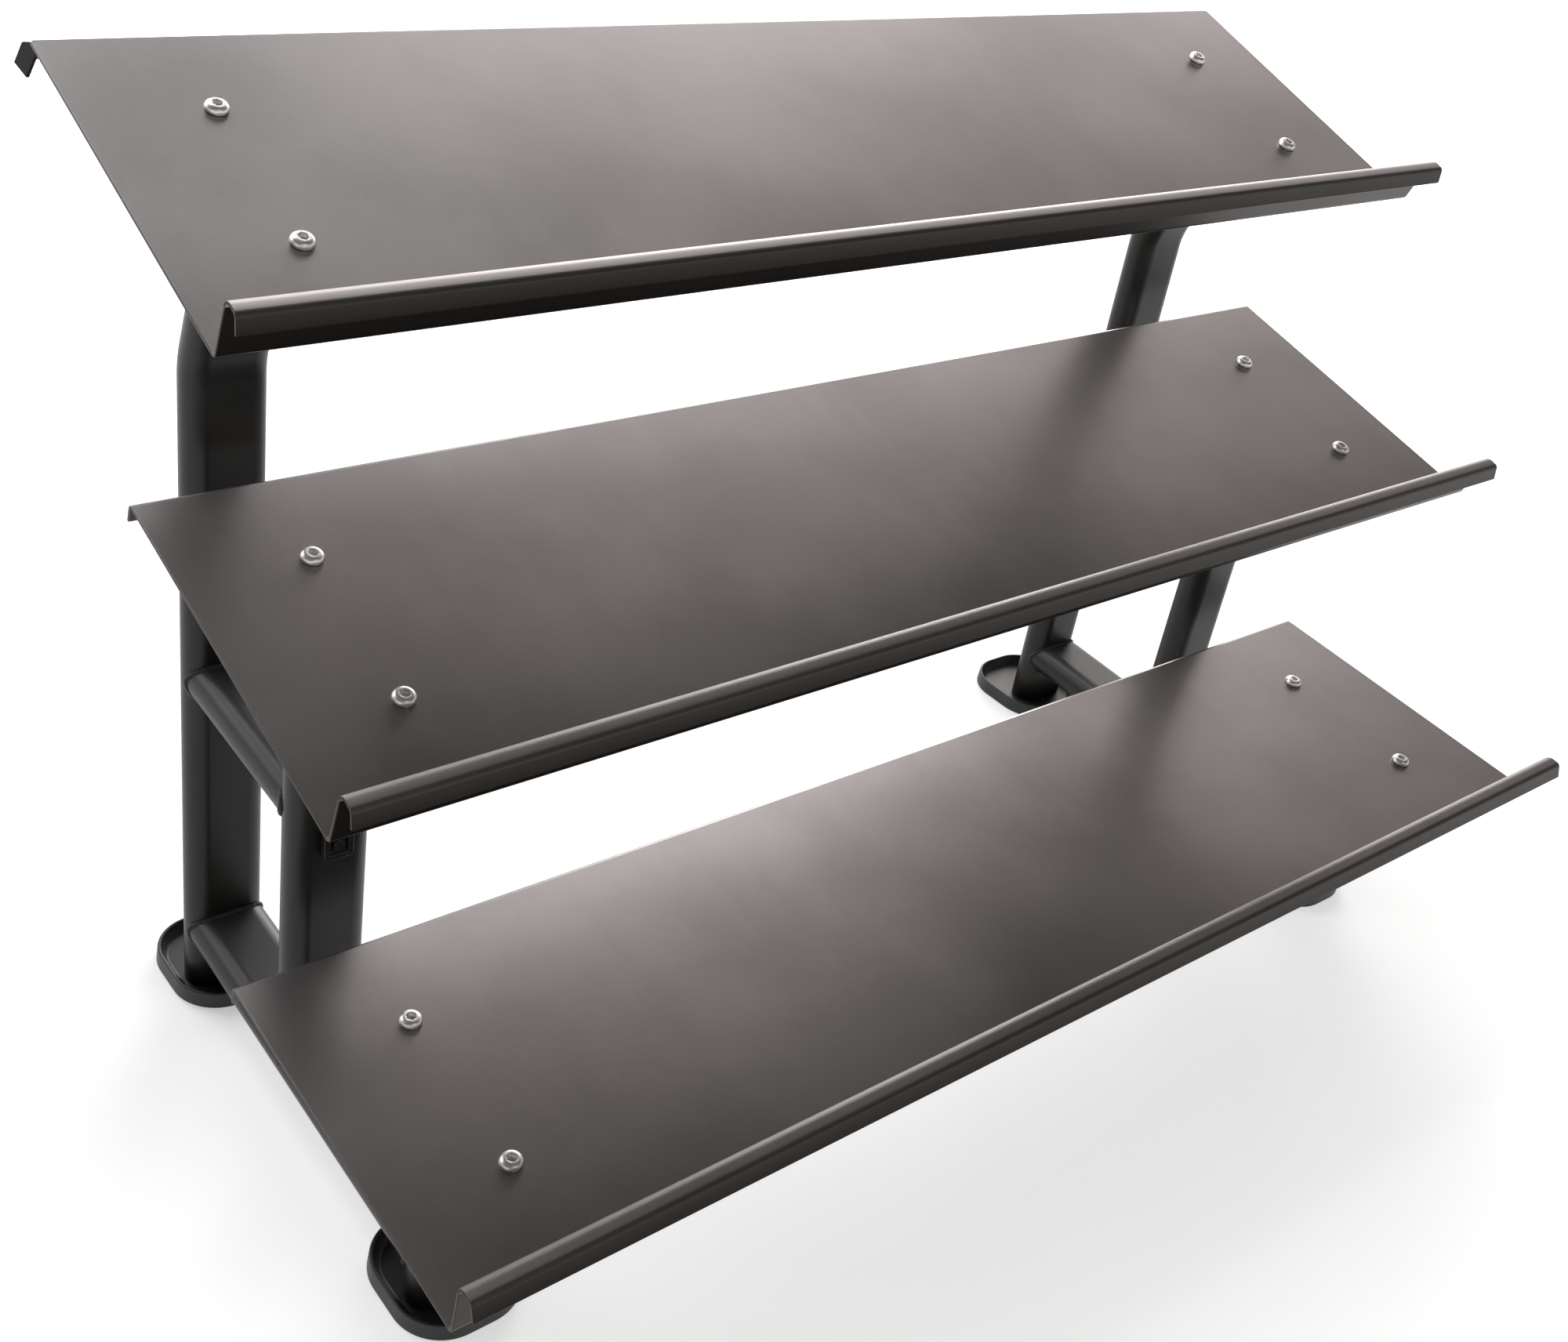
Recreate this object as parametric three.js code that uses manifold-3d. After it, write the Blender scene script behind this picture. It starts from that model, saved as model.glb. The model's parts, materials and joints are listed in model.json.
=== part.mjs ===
// Three-tier dumbbell rack: sloped steel shelves bolted to two welded side frames of flat-oval tube.
// Millimetres, +Z up, +X along the shelves, front at -Y, origin on the floor under the middle of the rack.
import * as THREE from 'three';
import { mergeVertices } from 'three/addons/utils/BufferGeometryUtils.js';
import Module from 'manifold-3d';

const wasm = await Module();
wasm.setup();

// Shelves, folded from sheet
const shelfLength = 1500;
const panelDepth = 380; // front fold to rear fold, along the slope
const shelfSheet = 3;
const lipHeight = 57;
const capDepth = 17;
const capFall = 1;
const flapDrop = 15;
const flapFlare = 6;
const flangeDepth = 18;
const tightBend = 4.5; // mid-line radius
const crestBend = 8; // over the top of the lip

// End plates under the rear corners of the top shelf
const plateSheet = 3;
const plateAhead = 17; // front edge ahead of the rear fold, at the panel
const plateWidth = 26; // along the slope
const plateDrop = 33; // of its front edge
const plateLean = 15; // of its edges over that drop
const plateFall = 5; // of its lower edge, towards the rear
const plateCorner = 9; // cut off its top rear corner

// Tiers: height of the lowest front fold, steps from each tier to the next, slopes in degrees
const lowerHeight = 223;
const middleRise = 306;
const topRise = 301;
const middleSetback = 216;
const topSetback = 198;
const lowerTilt = 5;
const middleTilt = 15;
const topTilt = 20;

// Shelf bolts
const boltInset = 117.5; // from the end of the shelf
const boltSetback = 109; // front bolt, from the front fold
const boltPitch = 169;
const boltDiameter = 12;
const holeClearance = 1;
const boltLength = 25;
const headDiameter = 21;
const headHeight = 6.6;
const headEdge = 1.2; // straight side below the dome
const headCrown = 5.6; // radius of the flat round the socket
const socketAcross = 8;
const socketDepth = 4;
const nutAcross = 18;
const nutHeight = 12;
const nutFlange = 26;
const nutFlangeThickness = 2.5;
const nutClearance = 0.6;

// Channels welded to the post tops
const channelSheet = 4;
const channelWidth = 92;
const channelDepth = 26;
const channelOverhang = 36; // past each bolt
const channelNose = 11; // depth left at its ends
const channelBend = 5;

// Flat-oval tube
const tubeWidth = 80;
const tubeThickness = 40;
const tubeWall = 2.5;
const postBend = 90;
const middleLean = 155; // leaning length of a post
const rearLean = 192;
const frontPostShift = 6; // ahead of the middle between its bolts
const railSlope = 3;
const baseRailHeight = 78; // centre of the rail at the rear post
const middleRailHeight = 386;

// Feet
const footWidth = 126;
const footLength = 136;
const footCorner = 50;
const footHeight = 19;
const footFloor = 6;
const footRim = 5;
const dishRun = 8;
const footEase = 2.5;
const footInboard = 7; // middle of a foot from the middle of its post
const footBehind = 12;
const spigotHeight = 16;
const spigotClearance = 0.5;

// Hook plate on the left middle post
const hookHeight = 344;
const hookWidth = 29;
const hookTall = 29;
const hookArm = 5.5;
const hookSheet = 4;
const hookStand = 9; // how far it stands out of the post
const screwDiameter = 6;
const screwHead = 10;
const screwHeadHeight = 4.5;
const screwLength = 16;

const seat = 0.3; // gap between pieces that meet

function finish(color, roughness, metalness) {
  return new THREE.MeshStandardMaterial({ color, roughness, metalness });
}

const shelfPaint = finish(0x35322f, 0.4, 0);
const framePaint = finish(0x1e1f1d, 0.38, 0);
const zinc = finish(0xc9cbcc, 0.25, 1);
const rubber = finish(0x151515, 0.7, 0);

const bendSteps = 4;
const ovalSteps = 4; // quarter turn of a tube's side
const cornerSteps = 6; // quarter turn of a foot's corner
const boltSides = 16;
const domeSteps = 3;
const across = new THREE.Vector3(1, 0, 0);
const rearward = new THREE.Vector3(0, 1, 0);
const upward = new THREE.Vector3(0, 0, 1);

// --- Solids --------------------------------------------------------------------------------------

function solidOf(geometry) {
  const bare = geometry.clone();
  bare.deleteAttribute('normal');
  bare.deleteAttribute('uv');
  const { attributes, index } = mergeVertices(bare, 1e-4);
  const vertProperties = new Float32Array(attributes.position.array);
  const triVerts = new Uint32Array(index.array);
  return new wasm.Manifold(new wasm.Mesh({ numProp: 3, vertProperties, triVerts }));
}

function geometryOf(solid) {
  const { vertProperties, triVerts } = solid.getMesh();
  const geometry = new THREE.BufferGeometry();
  geometry.setAttribute('position', new THREE.BufferAttribute(vertProperties, 3));
  geometry.setIndex(new THREE.BufferAttribute(triVerts, 1));
  geometry.computeVertexNormals();
  return geometry;
}

function cut(geometry, ...tools) {
  return geometryOf(tools.reduce((solid, tool) => solid.subtract(solidOf(tool)), solidOf(geometry)));
}

const join = (a, b) => geometryOf(solidOf(a).add(solidOf(b)));
const common = (a, b) => geometryOf(solidOf(a).intersect(solidOf(b)));

const outline = (points) => new THREE.Shape(points.map(([x, y]) => new THREE.Vector2(x, y)));

// Prism of a shape drawn along two axes, running from `start` for `depth` along their cross product.
function prism(shape, xAxis, yAxis, start, depth) {
  const settings = { depth, bevelEnabled: false, curveSegments: ovalSteps };
  const geometry = new THREE.ExtrudeGeometry(shape, settings);
  geometry.translate(0, 0, start);
  return geometry.applyMatrix4(new THREE.Matrix4().makeBasis(xAxis, yAxis, xAxis.clone().cross(yAxis)));
}

function pin(diameter, bottom, top, sides = boltSides) {
  const geometry = new THREE.CylinderGeometry(diameter / 2, diameter / 2, top - bottom, sides);
  geometry.rotateX(Math.PI / 2);
  return geometry.translate(0, 0, (bottom + top) / 2);
}

function turned(profile, sides = boltSides) {
  const points = profile.map(([r, z]) => new THREE.Vector2(r, z));
  return new THREE.LatheGeometry(points, sides).rotateX(Math.PI / 2);
}

// Solid through a stack of rings with as many points each, closed with flat ends.
function loft(rings) {
  const count = rings[0].length;
  const points = [...rings.flat(), centreOf(rings[0]), centreOf(rings[rings.length - 1])];
  const bottom = points.length - 2;
  const index = [];
  for (let i = 0; i < count; i += 1) {
    const next = (i + 1) % count;
    const last = (rings.length - 1) * count;
    index.push(bottom, next, i, bottom + 1, last + i, last + next);
    for (let base = 0; base < last; base += count) {
      index.push(base + i, base + next, base + count + next);
      index.push(base + i, base + count + next, base + count + i);
    }
  }
  return new THREE.BufferGeometry().setFromPoints(points).setIndex(index);
}

function centreOf(ring) {
  return ring.reduce((sum, point) => sum.add(point), new THREE.Vector3()).divideScalar(ring.length);
}

// --- Folded sheet --------------------------------------------------------------------------------

// Mid-line of a strip folded at corners [x, y, bend radius]: its points, each with the normal to its left.
function foldLine(corners) {
  const at = corners.map(([x, y]) => new THREE.Vector2(x, y));
  const heading = at.slice(1).map((point, i) => point.clone().sub(at[i]).normalize());
  const normal = heading.map(({ x, y }) => new THREE.Vector2(-y, x));
  const line = [{ point: at[0], normal: normal[0] }];
  for (let i = 1; i < at.length - 1; i += 1) {
    const turn = Math.atan2(heading[i - 1].cross(heading[i]), heading[i - 1].dot(heading[i]));
    const radius = corners[i][2] * Math.sign(turn);
    const start = at[i].clone().addScaledVector(heading[i - 1], -radius * Math.tan(turn / 2));
    const centre = start.addScaledVector(normal[i - 1], radius);
    for (let k = 0; k <= bendSteps; k += 1) {
      const spoke = normal[i - 1].clone().rotateAround(new THREE.Vector2(), (turn * k) / bendSteps);
      line.push({ point: centre.clone().addScaledVector(spoke, -radius), normal: spoke });
    }
  }
  line.push({ point: at[at.length - 1], normal: normal[normal.length - 1] });
  return line;
}

function beside(line, offset) {
  return line.map(({ point, normal }) => point.clone().addScaledVector(normal, offset));
}

function foldedSection(corners, sheet) {
  const line = foldLine(corners);
  return new THREE.Shape([...beside(line, -sheet / 2), ...beside(line, sheet / 2).reverse()]);
}

// --- Flat-oval tube ------------------------------------------------------------------------------

// Centre line made of knots { point, tangent }, which keeps the wide side of the section along X.
class TubeLine extends THREE.Curve {
  constructor(knots) {
    super();
    this.knots = knots;
  }

  knot(u) {
    return this.knots[Math.round(u * (this.knots.length - 1))];
  }

  getPointAt(u) {
    return this.knot(u).point.clone();
  }

  computeFrenetFrames(steps) {
    const tangents = Array.from({ length: steps + 1 }, (_, i) => this.knot(i / steps).tangent.clone());
    const normals = tangents.map(() => across.clone());
    const binormals = tangents.map((tangent) => tangent.clone().cross(across));
    return { tangents, normals, binormals };
  }
}

function oval(path, width, thickness) {
  const radius = thickness / 2;
  const centre = width / 2 - radius;
  path.absarc(centre, 0, radius, -Math.PI / 2, Math.PI / 2, false);
  path.absarc(-centre, 0, radius, Math.PI / 2, (3 * Math.PI) / 2, false);
  path.closePath();
  return path;
}

const grownOval = (path, growth) => oval(path, tubeWidth + 2 * growth, tubeThickness + 2 * growth);

function sweep(shape, knots) {
  const settings = { steps: knots.length - 1, extrudePath: new TubeLine(knots), curveSegments: ovalSteps };
  return new THREE.ExtrudeGeometry(shape, settings);
}

function tube(knots) {
  const shape = grownOval(new THREE.Shape(), 0);
  shape.holes.push(grownOval(new THREE.Path(), -tubeWall));
  return sweep(shape, knots);
}

// Room that a tube takes up in a piece welded to it.
const roomFor = (knots) => sweep(grownOval(new THREE.Shape(), seat), knots);

function straight(from, to) {
  const tangent = to.clone().sub(from).normalize();
  return [{ point: from, tangent }, { point: to, tangent }];
}

// Upright from `base` that bends forward by `tilt` and ends at `end`, square to its leaning run.
function bent(base, end, tilt) {
  const knee = new THREE.Vector3(0, base.y, end.z - (base.y - end.y) / Math.tan(tilt));
  const bendStart = knee.clone().addScaledVector(upward, -postBend * Math.tan(tilt / 2));
  const centre = bendStart.addScaledVector(rearward, -postBend);
  const knots = [{ point: base, tangent: upward.clone() }];
  for (let k = 0; k <= bendSteps; k += 1) {
    const spoke = rearward.clone().applyAxisAngle(across, (tilt * k) / bendSteps);
    const tangent = upward.clone().applyAxisAngle(across, (tilt * k) / bendSteps);
    knots.push({ point: centre.clone().addScaledVector(spoke, postBend), tangent });
  }
  knots.push({ point: end, tangent: knots[knots.length - 1].tangent.clone() });
  return knots;
}

// --- Layout --------------------------------------------------------------------------------------

const tierAt = (name, y, z, degrees) => ({ name, y, z, tilt: THREE.MathUtils.degToRad(degrees) });
const lower = tierAt('lower', 0, lowerHeight, lowerTilt);
const middle = tierAt('middle', middleSetback, lower.z + middleRise, middleTilt);
const top = tierAt('top', middle.y + topSetback, middle.z + topRise, topTilt);

// Point of a tier in the side view: s up its slope from the front fold, n square to it.
function onTier({ y, z, tilt }, s, n) {
  return new THREE.Vector3(0, s, n).applyAxisAngle(across, tilt).add(new THREE.Vector3(0, y, z));
}

const frameX = shelfLength / 2 - boltInset;
const boltPlaces = [boltSetback, boltSetback + boltPitch];
const postS = boltSetback + boltPitch / 2; // where a post meets its shelf
const channelTop = -shelfSheet / 2 - seat;
const channelUnder = channelTop - channelSheet;
const postTop = channelUnder - seat;
const postBottom = footFloor + seat;

const middleEnd = onTier(middle, postS, postTop);
const rearEnd = onTier(top, postS, postTop);
const frontPostY = onTier(lower, postS, postTop).y - frontPostShift;
const middlePostY = middleEnd.y + middleLean * Math.sin(middle.tilt);
const rearPostY = rearEnd.y + rearLean * Math.sin(top.tilt);

// Rails fall towards the front from the rear post.
const railFall = Math.tan(THREE.MathUtils.degToRad(railSlope));
const onRail = (height, y) => new THREE.Vector3(0, y, height - (rearPostY - y) * railFall);
const baseRailLine = straight(onRail(baseRailHeight, rearPostY), onRail(baseRailHeight, frontPostY));
const middleRailLine = straight(onRail(middleRailHeight, rearPostY), onRail(middleRailHeight, middlePostY));

const frontLine = straight(
  new THREE.Vector3(0, frontPostY, postBottom),
  new THREE.Vector3(0, frontPostY, lower.z + panelDepth * Math.sin(lower.tilt)),
);
const middleLine = bent(onRail(baseRailHeight, middlePostY), middleEnd, middle.tilt);
const rearLine = bent(new THREE.Vector3(0, rearPostY, postBottom), rearEnd, top.tilt);

// --- Shelves and what bolts them down ------------------------------------------------------------

const lip = [
  [-capDepth - flapFlare, lipHeight - capFall - flapDrop],
  [-capDepth, lipHeight - capFall, tightBend],
  [0, lipHeight, crestBend],
  [0, 0, tightBend],
];
const flange = [
  [panelDepth, 0, tightBend],
  [panelDepth, -flangeDepth],
];

function shelf(...notches) {
  const strip = foldedSection([...lip, ...flange], shelfSheet);
  const sheet = prism(strip, rearward, upward, -shelfLength / 2, shelfLength);
  const hole = () => pin(boltDiameter + holeClearance, -2 * shelfSheet, 2 * shelfSheet);
  const places = [-frameX, frameX].flatMap((x) => boltPlaces.map((s) => [x, s]));
  return cut(sheet, ...places.map(([x, s]) => hole().translate(x, s, 0)), ...notches);
}

// Plate across the end of the rear flange, its upper edge under the panel; side is -1 at the left.
function endPlate(side) {
  const lean = plateLean / plateDrop;
  const front = panelDepth - plateAhead;
  const rear = front + plateWidth;
  const shape = outline([
    [front, channelTop],
    [front + plateLean, channelTop - plateDrop],
    [rear + (plateDrop + plateFall) * lean, channelTop - plateDrop - plateFall],
    [rear + plateCorner * lean, channelTop - plateCorner],
    [rear - plateCorner, channelTop],
  ]);
  const outside = (side * shelfLength) / 2;
  return prism(shape, rearward, upward, Math.min(outside, outside - side * plateSheet), plateSheet);
}

// Room for an end plate in the rear bend and flange of its shelf.
function plateRoom(side) {
  const room = new THREE.BoxGeometry(2 * (plateSheet + seat), 2 * flangeDepth, 4 * flangeDepth);
  return room.translate((side * shelfLength) / 2, panelDepth - tightBend - seat + flangeDepth, 0);
}

// Pressed channel, open downwards, whose flanges run out towards both ends.
function channel() {
  const half = (channelWidth - channelSheet) / 2;
  const web = channelTop - channelSheet / 2;
  const bottom = channelTop - channelDepth;
  const nose = channelTop - channelNose;
  const section = [[-half, bottom], [-half, web, channelBend], [half, web, channelBend], [half, bottom]];
  const [front, rear] = [boltPlaces[0] - channelOverhang, boltPlaces[1] + channelOverhang];
  const blank = prism(foldedSection(section, channelSheet), across, upward, -rear, rear - front);
  const side = outline([
    [front, nose], [boltPlaces[0], bottom], [boltPlaces[1], bottom], [rear, nose], [rear, 0], [front, 0],
  ]);
  const trimmed = common(blank, prism(side, rearward, upward, -channelWidth, 2 * channelWidth));
  const hole = () => pin(boltDiameter + holeClearance, bottom, 0);
  return cut(trimmed, ...boltPlaces.map((s) => hole().translate(0, s, 0)));
}

const hexagon = (width, bottom, height) => pin(width / Math.cos(Math.PI / 6), bottom, bottom + height, 6);

// Button-head bolt with a hexagon socket, its head seated at z = 0.
function bolt() {
  const radius = boltDiameter / 2;
  const tip = boltDiameter / 10;
  const shank = [[0, -boltLength], [radius - tip, -boltLength], [radius, tip - boltLength], [radius, 0]];
  const profile = [...shank, [headDiameter / 2, 0]];
  for (let k = 0; k <= domeSteps; k += 1) {
    const angle = ((k / domeSteps) * Math.PI) / 2;
    const r = headCrown + (headDiameter / 2 - headCrown) * Math.cos(angle);
    profile.push([r, headEdge + (headHeight - headEdge) * Math.sin(angle)]);
  }
  profile.push([0, headHeight]);
  return cut(turned(profile), hexagon(socketAcross, headHeight - socketDepth, 2 * socketDepth));
}

// Hexagon flange nut, seated at z = 0 with its body below.
function nut() {
  const edge = nutFlangeThickness / 2;
  const rim = nutFlange / 2;
  const under = -nutFlangeThickness;
  const washer = turned([[0, under], [nutAcross / 2, under], [rim, -edge], [rim, 0], [0, 0]]);
  const body = join(hexagon(nutAcross, -nutHeight, nutHeight - edge), washer);
  return cut(body, pin(boltDiameter + nutClearance, -2 * nutHeight, nutHeight));
}

// --- Side frames ---------------------------------------------------------------------------------

// Everything above the seat of the lower shelf's channels.
function aboveLowerChannel() {
  const room = new THREE.BoxGeometry(2 * tubeWidth, panelDepth, panelDepth);
  room.translate(0, postS, postTop + panelDepth / 2);
  return room.applyMatrix4(new THREE.Matrix4().makeRotationX(lower.tilt).setPosition(0, lower.y, lower.z));
}

const frontPost = () => cut(tube(frontLine), aboveLowerChannel());
const middlePost = (...holes) => cut(tube(middleLine), roomFor(baseRailLine), ...holes);
const rearPost = () => tube(rearLine);
const baseRail = () => cut(tube(baseRailLine), roomFor(frontLine), roomFor(rearLine));
const middleRail = () => cut(tube(middleRailLine), roomFor(middleLine), roomFor(rearLine));

// Ring of a round-cornered plan drawn in by `inset`.
function plan(inset, z) {
  const corner = footCorner - inset;
  const ring = [];
  for (let quarter = 0; quarter < 4; quarter += 1) {
    const x = (footWidth / 2 - footCorner) * (quarter === 0 || quarter === 3 ? 1 : -1);
    const y = (footLength / 2 - footCorner) * (quarter < 2 ? 1 : -1);
    for (let k = 0; k <= cornerSteps; k += 1) {
      const angle = ((quarter + k / cornerSteps) * Math.PI) / 2;
      ring.push(new THREE.Vector3(x + corner * Math.cos(angle), y + corner * Math.sin(angle), z));
    }
  }
  return ring;
}

// Dished rubber foot under a post at x = y = 0, with a spigot that plugs the tube.
function foot(side) {
  const floor = footRim + dishRun;
  const pad = loft([
    plan(footEase, 0),
    plan(0, footEase),
    plan(footEase / 2, footHeight - footEase),
    plan(footEase, footHeight),
    plan(footRim, footHeight),
    plan(footRim + dishRun / 3, (footHeight + footFloor) / 2),
    plan(footRim + (dishRun * 2) / 3, footFloor + footEase),
    plan(floor, footFloor),
  ]);
  pad.translate(-side * footInboard, footBehind, 0);
  const plug = grownOval(new THREE.Shape(), -tubeWall - spigotClearance);
  return join(pad, prism(plug, across, rearward, footFloor / 2, footFloor / 2 + spigotHeight));
}

// --- Hook plate ----------------------------------------------------------------------------------

// Tray with a raised rim on three sides, open at the top, its back at y = 0 and its rim towards the front.
function hookPlate() {
  const [half, inner] = [hookWidth / 2, hookWidth / 2 - hookArm];
  const [low, high] = [-hookTall / 2, hookTall / 2];
  const chamfer = hookArm / 2;
  const rim = outline([
    [-half, high], [-half, low + chamfer], [chamfer - half, low], [half - chamfer, low],
    [half, low + chamfer], [half, high], [inner, high], [inner, low + hookArm],
    [-inner, low + hookArm], [-inner, high],
  ]);
  const back = outline([[-half, high], [-half, low + chamfer], [half, low + chamfer], [half, high]]);
  const tray = join(prism(rim, across, upward, 0, hookStand), prism(back, across, upward, 0, hookSheet));
  return cut(tray, screwHole());
}

// Hexagon screw along Y, its head seated at y = 0 and standing forward.
function hookScrew() {
  const shank = pin(screwDiameter, -screwLength, screwHeadHeight / 2);
  return join(hexagon(screwHead, 0, screwHeadHeight), shank).rotateX(Math.PI / 2);
}

function screwHole() {
  return pin(screwDiameter + holeClearance, -tubeThickness / 2, tubeThickness / 2).rotateX(Math.PI / 2);
}

const hookY = middlePostY - tubeThickness / 2;
const hookHole = () => screwHole().translate(0, hookY, hookHeight);

// --- Assembly ------------------------------------------------------------------------------------

const rack = new THREE.Group();

function add(parent, name, geometry, material, x = 0, y = 0, z = 0) {
  const mesh = new THREE.Mesh(geometry, material);
  mesh.name = name;
  mesh.position.set(x, y, z);
  parent.add(mesh);
}

for (const tier of [lower, middle, top]) {
  const slope = new THREE.Group();
  slope.position.set(0, tier.y, tier.z);
  slope.rotation.x = tier.tilt;
  rack.add(slope);
  const notches = tier === top ? [plateRoom(-1), plateRoom(1)] : [];
  add(slope, `${tier.name}_shelf`, shelf(...notches), shelfPaint);
  for (const [side, x] of [['left', -frameX], ['right', frameX]]) {
    add(slope, `${tier.name}_channel_${side}`, channel(), framePaint, x);
    if (tier === top) add(slope, `top_end_plate_${side}`, endPlate(Math.sign(x)), framePaint);
    for (const [i, end] of ['front', 'rear'].entries()) {
      const place = `${tier.name}_${side}_${end}`;
      add(slope, `bolt_${place}`, bolt(), zinc, x, boltPlaces[i], shelfSheet / 2 + seat);
      add(slope, `nut_${place}`, nut(), zinc, x, boltPlaces[i], channelUnder - seat);
    }
  }
}

for (const [name, side] of [['left', -1], ['right', 1]]) {
  const x = side * frameX;
  add(rack, `front_post_${name}`, frontPost(), framePaint, x);
  add(rack, `middle_post_${name}`, side < 0 ? middlePost(hookHole()) : middlePost(), framePaint, x);
  add(rack, `rear_post_${name}`, rearPost(), framePaint, x);
  add(rack, `base_rail_${name}`, baseRail(), framePaint, x);
  add(rack, `middle_rail_${name}`, middleRail(), framePaint, x);
  add(rack, `front_foot_${name}`, foot(side), rubber, x, frontPostY);
  add(rack, `rear_foot_${name}`, foot(side), rubber, x, rearPostY);
}

add(rack, 'hook_plate', hookPlate(), framePaint, -frameX, hookY - seat, hookHeight);
add(rack, 'hook_screw', hookScrew(), framePaint, -frameX, hookY - 2 * seat - hookSheet, hookHeight);

// The rack stands on z = 0, with the middle of its depth at y = 0.
const { min, max } = new THREE.Box3().setFromObject(rack, true);
rack.position.y = -(min.y + max.y) / 2;

export default rack;
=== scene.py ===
# Three-tier dumbbell rack: folded satin shelves on black flat-oval side frames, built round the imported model.
import json
import bpy
import bmesh
import numpy as np
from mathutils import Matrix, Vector


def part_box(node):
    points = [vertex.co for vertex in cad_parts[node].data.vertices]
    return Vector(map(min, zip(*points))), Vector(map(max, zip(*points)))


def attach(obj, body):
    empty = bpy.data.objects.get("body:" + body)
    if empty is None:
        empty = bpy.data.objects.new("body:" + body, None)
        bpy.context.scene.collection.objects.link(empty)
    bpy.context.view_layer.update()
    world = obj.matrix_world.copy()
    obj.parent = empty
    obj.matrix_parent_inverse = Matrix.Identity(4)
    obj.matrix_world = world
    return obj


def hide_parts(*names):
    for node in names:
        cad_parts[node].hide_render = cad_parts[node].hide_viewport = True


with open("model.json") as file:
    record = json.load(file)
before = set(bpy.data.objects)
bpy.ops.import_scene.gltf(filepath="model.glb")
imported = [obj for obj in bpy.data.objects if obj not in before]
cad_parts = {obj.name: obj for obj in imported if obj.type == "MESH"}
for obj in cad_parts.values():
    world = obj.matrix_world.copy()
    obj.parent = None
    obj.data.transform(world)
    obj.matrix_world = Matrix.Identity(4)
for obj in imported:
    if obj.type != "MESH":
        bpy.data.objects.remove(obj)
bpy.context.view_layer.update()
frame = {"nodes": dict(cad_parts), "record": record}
print("frame loaded,", len(frame["nodes"]), "nodes")

mm = 0.001
tilts = {"lower": 5, "middle": 15, "top": 20}  # degrees
sides = {"left": -1, "right": 1}
seat = 0.3  # gap between pieces that meet

viewPoint = {
    "place": (-1.2553, -1.1244, 1.3749),  # metres
    "turn": (59.638, -8.121, -37.544),  # degrees
    "lens": 41.64,
    "sensor": 36,
    "shift": (0.0326, -0.0339),
    "reach": 200,  # how far it sees
}


def makeCamera():
    data = bpy.data.cameras.new("camera")
    data.lens = viewPoint["lens"]
    data.sensor_width = viewPoint["sensor"]
    data.shift_x, data.shift_y = viewPoint["shift"]
    data.clip_end = viewPoint["reach"]
    camera = bpy.data.objects.new("camera", data)
    camera.location = viewPoint["place"]
    camera.rotation_euler = np.radians(viewPoint["turn"])
    bpy.context.scene.collection.objects.link(camera)
    bpy.context.scene.camera = camera


makeCamera()
print("camera made")


class Wire:  # one socket, on which + - and * add Math nodes
    def __init__(self, finish, socket):
        self.finish, self.socket = finish, socket

    def math(self, operation, a, b):
        return self.finish.node("ShaderNodeMath", {"operation": operation}, [a, b])

    def __add__(self, other):
        return self.math("ADD", self, other)

    def __sub__(self, other):
        return self.math("SUBTRACT", self, other)

    def __mul__(self, other):
        return self.math("MULTIPLY", self, other)

    def __radd__(self, other):
        return self.math("ADD", other, self)

    def __rsub__(self, other):
        return self.math("SUBTRACT", other, self)

    def __rmul__(self, other):
        return self.math("MULTIPLY", other, self)

    def most(self, other):
        return self.math("MAXIMUM", self, other)

    def between(self, low, high):  # 0 at low, 1 at high, smooth in between
        settings = {"interpolation_type": "SMOOTHSTEP"}
        values = {"Value": self, "From Min": low, "From Max": high}
        return self.finish.node("ShaderNodeMapRange", settings, values)


edgeMask = {"samples": 6, "bend": (0.02, 0.3)}  # how far a rounded normal leans from the face's own


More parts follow.
